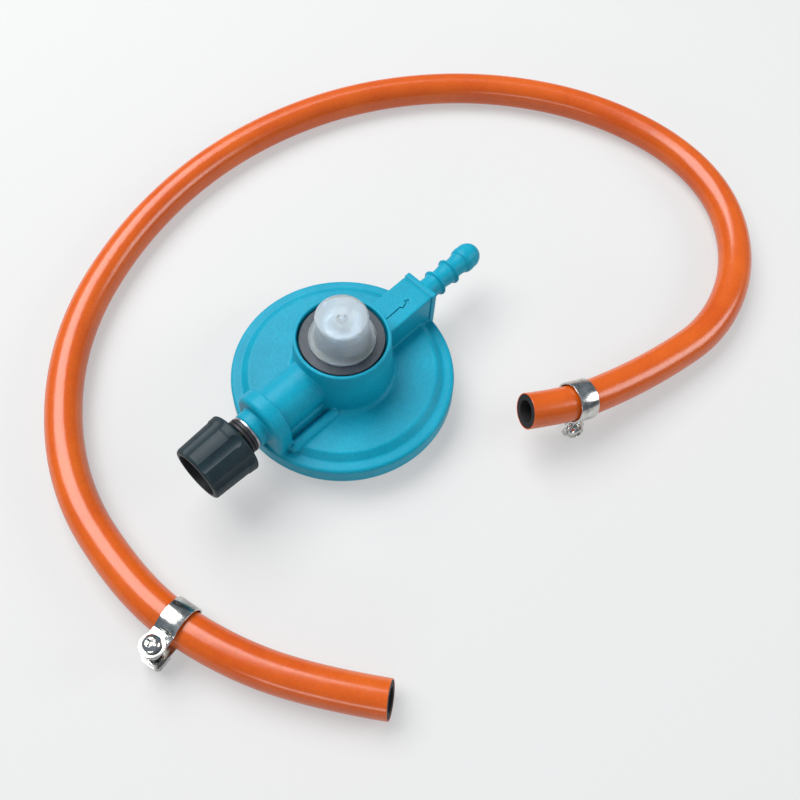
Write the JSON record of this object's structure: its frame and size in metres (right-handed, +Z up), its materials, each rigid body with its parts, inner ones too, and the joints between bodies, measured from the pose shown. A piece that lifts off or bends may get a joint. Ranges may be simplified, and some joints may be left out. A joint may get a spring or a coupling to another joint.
{
  "type": "gas regulator and hose kit",
  "caption": "Low-pressure screw-on gas regulator with a tap knob and hose barb, lying beside a loose length of orange gas hose with a bolt clamp near each end.",
  "frame": {"origin": "on the regulator's round axis, in the plane its cover rests on", "axes": "+Z up through the inlet spigot, +X out along the hose barb, tap knob towards -X"},
  "size_m": [0.3093, 0.2182, 0.0488],
  "materials": {
    "body_paint": "satin light blue paint on a die casting",
    "cover_paint": "satin light blue paint on pressed steel",
    "zinc_steel": "bright zinc plate",
    "black_rubber": "matt nitrile rubber",
    "gasket_rubber": "dark grey rubber, slight sheen",
    "spring_steel": "drawn wire",
    "brass": "machined",
    "sintered_bronze": "sintered, dull",
    "nickel": "bright nickel plate",
    "hose_orange": "smooth orange rubber with a soft shine",
    "hose_black": "matt black rubber",
    "clamp_steel": "bright zinc plated strip",
    "aluminium": "turned and pressed",
    "cap_polythene": "translucent natural polyethylene",
    "knob_plastic": "dark slate moulded plastic"
  },
  "bodies": {
    "root": {"body_casting": "body_paint", "cover": "cover_paint", "adjusting_plug": "zinc_steel", "vent_screen": "zinc_steel", "diaphragm": "black_rubber", "main_spring": "spring_steel", "nozzle": "brass", "lever_pin": "zinc_steel", "spigot": "brass", "opening_pin": "zinc_steel", "inlet_filter": "sintered_bronze", "spigot_gasket": "gasket_rubber", "gland_nut": "nickel", "wiper_ring": "black_rubber", "hose_jacket": "hose_orange", "hose_liner": "hose_black", "clamp_a_band": "clamp_steel", "clamp_a_nut": "clamp_steel", "clamp_b_band": "clamp_steel", "clamp_b_nut": "clamp_steel"},
    "diaphragm_stack": {"diaphragm_plate": "aluminium", "spring_cup": "zinc_steel", "diaphragm_post": "aluminium"},
    "valve_lever": {"lever": "zinc_steel", "valve_pad": "black_rubber"},
    "dust_cap": {"dust_cap": "cap_polythene"},
    "tap_plunger": {"tap_plunger": "brass", "plunger_pad": "black_rubber"},
    "tap_knob": {"tap_stem": "brass", "stem_o_ring": "black_rubber", "tap_knob": "knob_plastic", "knob_screw": "zinc_steel"},
    "clamp_a_washer": {"clamp_a_washer": "clamp_steel"},
    "clamp_a_screw": {"clamp_a_screw": "clamp_steel"},
    "clamp_b_washer": {"clamp_b_washer": "clamp_steel"},
    "clamp_b_screw": {"clamp_b_screw": "clamp_steel"}
  },
  "joints": [
    {"name": "diaphragm_travel", "type": "slide", "parent": "root", "child": "diaphragm_stack", "axis": [0, 0, 1], "range_m": [-0.0015, 0], "stiffness_N_per_m": 1500, "springref_m": 0.003, "deforming": ["main_spring", "diaphragm"]},
    {"name": "lever_turn", "type": "hinge", "parent": "root", "child": "valve_lever", "pos_m": [-0.014, 0, 0.0115], "axis": [0, 1, 0], "range_deg": [0, 6.3]},
    {"name": "cap_lift", "type": "slide", "parent": "root", "child": "dust_cap", "axis": [0, 0, 1], "range_m": [0, 0.04]},
    {"name": "tap_travel", "type": "slide", "parent": "root", "child": "tap_plunger", "axis": [-1, 0, 0], "range_m": [0, 0.0015]},
    {"name": "tap_turn", "type": "hinge", "parent": "tap_plunger", "child": "tap_knob", "pos_m": [-0.055, 0.001, 0.0235], "axis": [-1, 0, 0], "range_deg": [0, 541]},
    {"name": "clamp_a_travel", "type": "slide", "parent": "root", "child": "clamp_a_washer", "axis": [0.1363, 0.0281, 0.9903], "range_m": [0, 0.0014]},
    {"name": "clamp_a_turn", "type": "hinge", "parent": "clamp_a_washer", "child": "clamp_a_screw", "pos_m": [-0.11117, -0.0292, 0.00913], "axis": [0.1363, 0.0281, 0.9903], "range_deg": [0, 721]},
    {"name": "clamp_b_travel", "type": "slide", "parent": "root", "child": "clamp_b_washer", "axis": [-0.3867, -0.9222, 0], "range_m": [0, 0.0014]},
    {"name": "clamp_b_turn", "type": "hinge", "parent": "clamp_b_washer", "child": "clamp_b_screw", "pos_m": [0.04835, -0.06845, 0.00445], "axis": [-0.3867, -0.9222, 0], "range_deg": [0, 721]}
  ],
  "couplings": [
    {"joint": "lever_turn", "follows": "diaphragm_travel", "rad_per_m": -71.429},
    {"joint": "tap_turn", "follows": "tap_travel", "rad_per_m": 6283.2},
    {"joint": "clamp_a_turn", "follows": "clamp_a_travel", "rad_per_m": 8976},
    {"joint": "clamp_b_turn", "follows": "clamp_b_travel", "rad_per_m": 8976}
  ]
}
